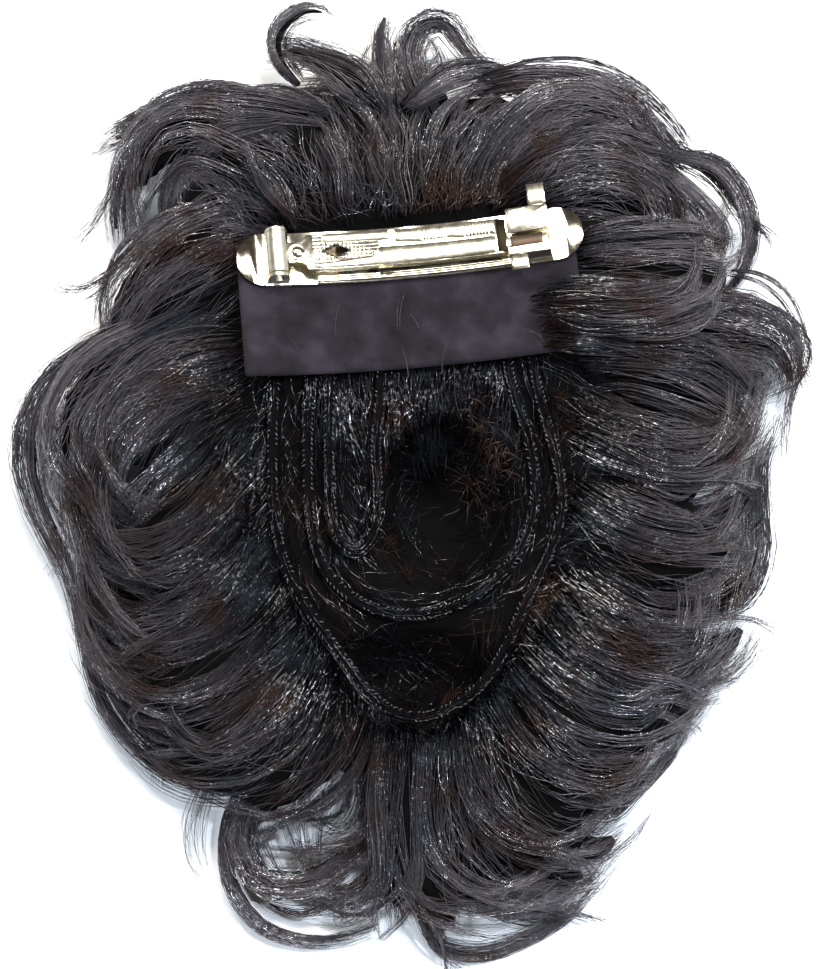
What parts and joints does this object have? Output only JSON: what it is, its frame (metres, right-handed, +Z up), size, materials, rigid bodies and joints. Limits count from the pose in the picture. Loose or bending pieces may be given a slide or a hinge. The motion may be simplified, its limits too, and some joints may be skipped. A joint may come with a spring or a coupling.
{
  "type": "clip-in hair extension",
  "caption": "Short curly black hairpiece on nested sewn wefts, with a fabric band and a metal barrette clip that opens on a hinge.",
  "frame": {"origin": "middle of the underside, on the surface that the hair lies on", "axes": "+Z up, out of the side that faces the wearer's head; +Y from the loose curls to the clip's end; +X from the clip's hinge to its catch"},
  "size_m": [0.1822, 0.2214, 0.0437],
  "materials": {
    "hair": "glossy synthetic hair",
    "weft_tape": "stitched",
    "band_cloth": "matt woven",
    "nickel": "nickel plated"
  },
  "bodies": {
    "hairpiece": {"clip_base": "nickel", "clip_pin": "nickel", "clip_tension_bar": "nickel", "clip_catch": "nickel", "band": "band_cloth", "weft_outer": "weft_tape", "weft_middle": "weft_tape", "weft_inner": "weft_tape", "hair": "hair"},
    "clasp": {"clip_arm": "nickel"}
  },
  "joints": [
    {"name": "clasp_hinge", "type": "hinge", "parent": "hairpiece", "child": "clasp", "pos_m": [-0.03386, 0.05105, 0.03785], "axis": [0.0887, -0.9741, 0.2079], "range_deg": [0, 100]}
  ]
}
